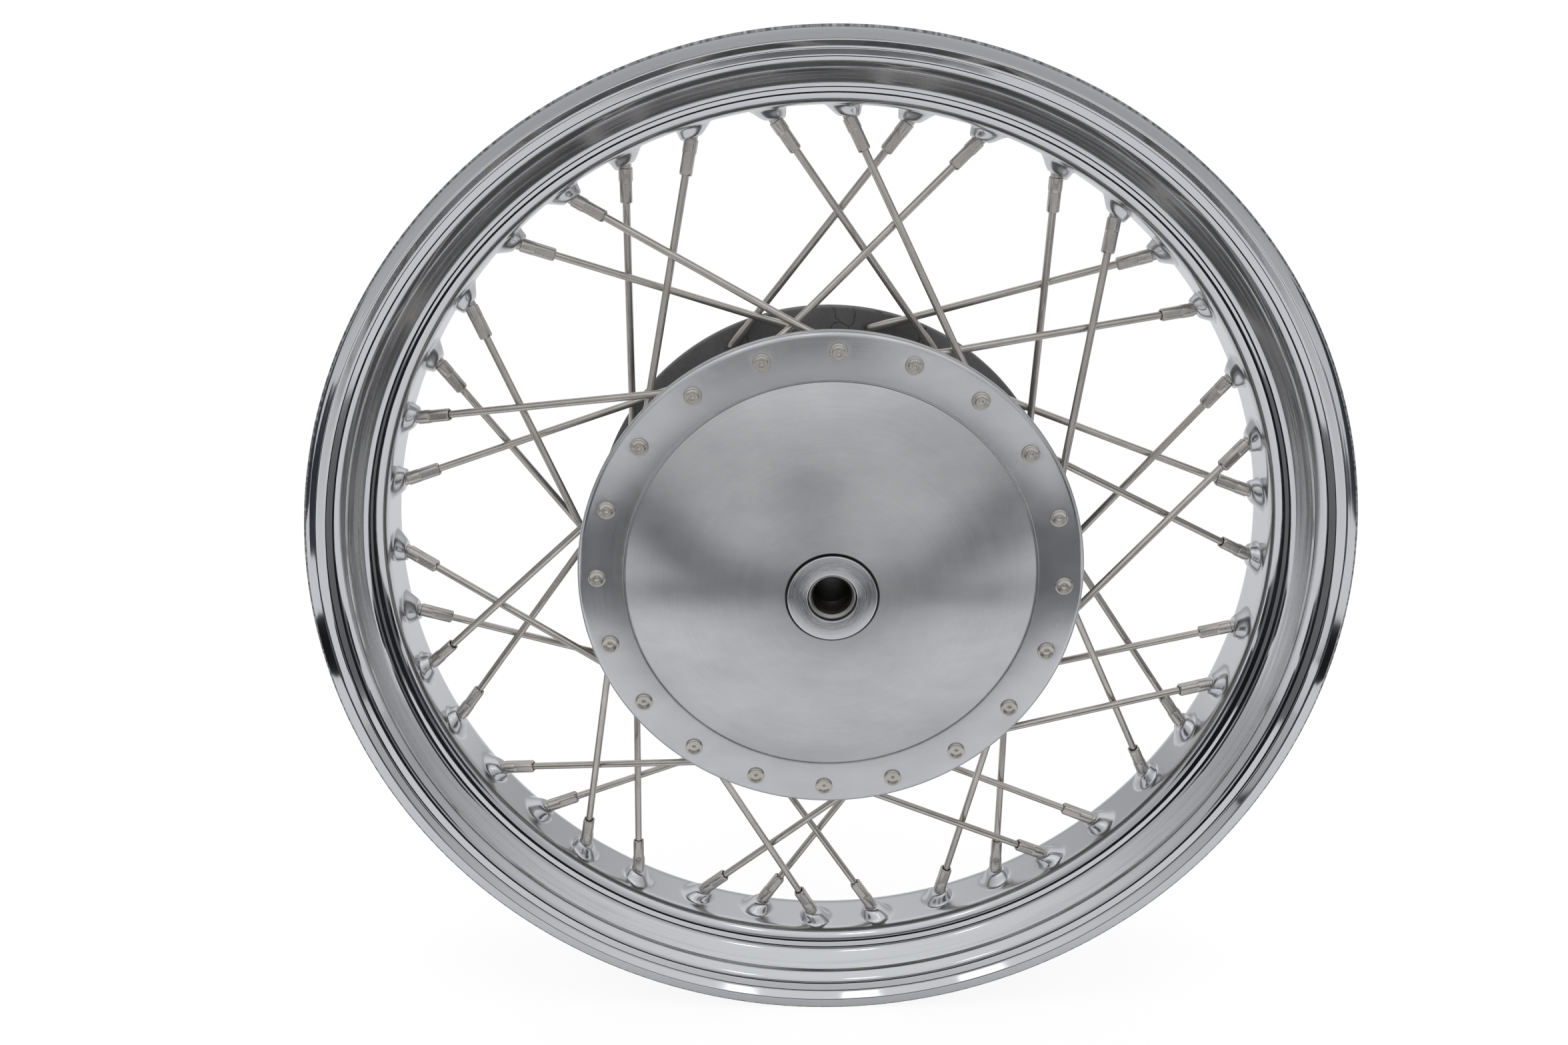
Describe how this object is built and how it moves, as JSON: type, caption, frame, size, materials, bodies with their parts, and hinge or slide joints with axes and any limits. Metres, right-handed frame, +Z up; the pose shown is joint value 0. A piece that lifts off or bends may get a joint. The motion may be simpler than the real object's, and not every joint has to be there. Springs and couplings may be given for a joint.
{
  "type": "spoked wheel",
  "caption": "Laced motorcycle wheel: chromed drop-centre steel rim, crossed bent-head spokes with nipples, and a full-width hub with a polished domed side and an iron brake drum.",
  "frame": {"origin": "the middle of the rim's width on the spin axis, where the axle's centre line passes", "axes": "+Y along the spin axis, from the polished domed side towards the open side of the brake drum; +Z up"},
  "size_m": [0.4596, 0.0896, 0.4596],
  "materials": {
    "chrome": "mirror-polished chromium plate on rolled steel",
    "polished_alloy": "lathe-turned and polished aluminium casting, slightly dulled",
    "cast_iron": "raw grey cast iron, matt and mottled",
    "stainless": "satin stainless wire and turned stainless",
    "machined_steel": "bright turned steel",
    "bearing_steel": "ground bearing steel",
    "zinc": "zinc-plated steel",
    "rubber": "moulded black nitrile rubber"
  },
  "bodies": {
    "axle_stack": {"bearing_spacer_tube": "zinc", "near_bearing_inner_ring": "bearing_steel", "far_bearing_inner_ring": "bearing_steel", "near_axle_sleeve": "stainless", "near_collar": "machined_steel", "far_collar": "zinc"},
    "wheel": {"rim": "chrome", "hub_shell": "polished_alloy", "brake_drum": "cast_iron", "near_bearing_outer_ring": "bearing_steel", "far_bearing_outer_ring": "bearing_steel", "near_dust_seal": "rubber", "far_dust_seal": "rubber", "drum_screw_1": "zinc", "drum_screw_2": "zinc", "drum_screw_3": "zinc", "drum_screw_4": "zinc", "drum_screw_5": "zinc", "near_spoke_01": "stainless", "near_spoke_02": "stainless", "near_spoke_03": "stainless", "near_spoke_04": "stainless", "near_spoke_05": "stainless", "near_spoke_06": "stainless", "near_spoke_07": "stainless", "near_spoke_08": "stainless", "near_spoke_09": "stainless", "near_spoke_10": "stainless", "near_spoke_11": "stainless", "near_spoke_12": "stainless", "near_spoke_13": "stainless", "near_spoke_14": "stainless", "near_spoke_15": "stainless", "near_spoke_16": "stainless", "near_spoke_17": "stainless", "near_spoke_18": "stainless", "near_spoke_19": "stainless", "near_spoke_20": "stainless", "far_spoke_01": "stainless", "far_spoke_02": "stainless", "far_spoke_03": "stainless", "far_spoke_04": "stainless", "far_spoke_05": "stainless", "far_spoke_06": "stainless", "far_spoke_07": "stainless", "far_spoke_08": "stainless", "far_spoke_09": "stainless", "far_spoke_10": "stainless", "far_spoke_11": "stainless", "far_spoke_12": "stainless", "far_spoke_13": "stainless", "far_spoke_14": "stainless", "far_spoke_15": "stainless", "far_spoke_16": "stainless", "far_spoke_17": "stainless", "far_spoke_18": "stainless", "far_spoke_19": "stainless", "far_spoke_20": "stainless"},
    "near_cage": {"near_ball_cage": "bearing_steel"},
    "far_cage": {"far_ball_cage": "bearing_steel"}
  },
  "joints": [
    {"name": "wheel_spin", "type": "hinge", "parent": "axle_stack", "child": "wheel", "pos_m": [0, 0, 0], "axis": [0, 1, 0], "continuous": true},
    {"name": "near_cage_spin", "type": "hinge", "parent": "axle_stack", "child": "near_cage", "pos_m": [0, -0.0423, 0], "axis": [0, 1, 0], "continuous": true},
    {"name": "far_cage_spin", "type": "hinge", "parent": "axle_stack", "child": "far_cage", "pos_m": [0, 0.0083, 0], "axis": [0, 1, 0], "continuous": true}
  ],
  "couplings": [
    {"joint": "near_cage_spin", "follows": "wheel_spin", "ratio": 0.608},
    {"joint": "far_cage_spin", "follows": "wheel_spin", "ratio": 0.608}
  ]
}
